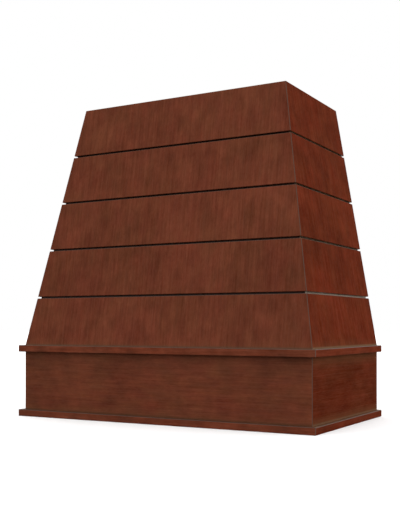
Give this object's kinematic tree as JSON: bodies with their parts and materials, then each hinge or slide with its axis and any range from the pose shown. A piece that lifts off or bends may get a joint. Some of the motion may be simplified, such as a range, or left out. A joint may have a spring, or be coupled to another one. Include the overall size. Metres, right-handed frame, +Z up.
{
  "type": "range hood cover",
  "caption": "Wall-hung tapered wooden cover for a kitchen range hood: mitred shiplap courses over a boxed apron with square trims; open below, behind and above.",
  "frame": {"origin": "middle of the bottom edge, on the wall plane", "axes": "+Z up, +Y into the wall, -Y to the front, +X to the right as seen from the front"},
  "size_m": [1.0998, 0.6007, 1.0701],
  "materials": {
    "shiplap": "red-brown stain under satin lacquer, grain running up the slope",
    "apron": "red-brown stain under satin lacquer, grain running along the board",
    "trim": "red-brown stain under satin lacquer, grain running along the strip",
    "framing": "planed, unfinished",
    "screws": "yellow zinc plate"
  },
  "bodies": {
    "root": {"apron_front": "apron", "apron_left": "apron", "apron_post_back_left": "framing", "apron_post_back_right": "framing", "apron_post_front_left": "framing", "apron_post_front_right": "framing", "apron_right": "apron", "apron_spline_left": "framing", "apron_spline_right": "framing", "front_board_1": "shiplap", "front_board_2": "shiplap", "front_board_3": "shiplap", "front_board_4": "shiplap", "front_board_5": "shiplap", "front_stud": "framing", "hanging_rail_screws": "screws", "hip_post_left": "framing", "hip_post_right": "framing", "left_board_1": "shiplap", "left_board_2": "shiplap", "left_board_3": "shiplap", "left_board_4": "shiplap", "left_board_5": "shiplap", "liner_frame_screws": "screws", "liner_rail_back": "framing", "liner_rail_front": "framing", "liner_rail_left": "framing", "liner_rail_right": "framing", "lower_hanging_rail": "framing", "lower_trim_front": "trim", "lower_trim_left": "trim", "lower_trim_right": "trim", "nailer_screws": "screws", "rear_batten_left": "framing", "rear_batten_right": "framing", "right_board_1": "shiplap", "right_board_2": "shiplap", "right_board_3": "shiplap", "right_board_4": "shiplap", "right_board_5": "shiplap", "top_frame_screws": "screws", "top_rail_front": "framing", "top_rail_left": "framing", "top_rail_right": "framing", "upper_hanging_rail": "framing", "upper_trim_front": "trim", "upper_trim_left": "trim", "upper_trim_right": "trim", "waist_nailer_front": "framing", "waist_nailer_left": "framing", "waist_nailer_right": "framing"}
  },
  "joints": []
}
